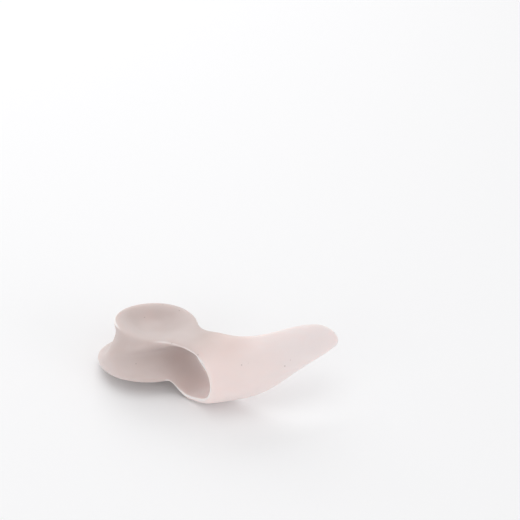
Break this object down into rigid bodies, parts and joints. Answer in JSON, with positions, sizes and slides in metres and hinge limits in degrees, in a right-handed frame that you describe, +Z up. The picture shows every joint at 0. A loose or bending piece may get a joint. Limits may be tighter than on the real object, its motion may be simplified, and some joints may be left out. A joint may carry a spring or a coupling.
{
  "type": "gel bunion sleeve",
  "caption": "Soft gel toe sleeve in one piece: a dished spool between the toes, a loop round the big toe and a curved shield over the bunion.",
  "frame": {"origin": "on the surface the sleeve rests on, in the middle of the loop's seat", "axes": "+X along the big toe towards the heel, +Y from the big toe towards the second toe, +Z up"},
  "size_m": [0.0681, 0.0481, 0.0237],
  "materials": {
    "gel": "milky, frosted soft gel"
  },
  "bodies": {
    "root": {"gel_sleeve": "gel"}
  },
  "joints": []
}
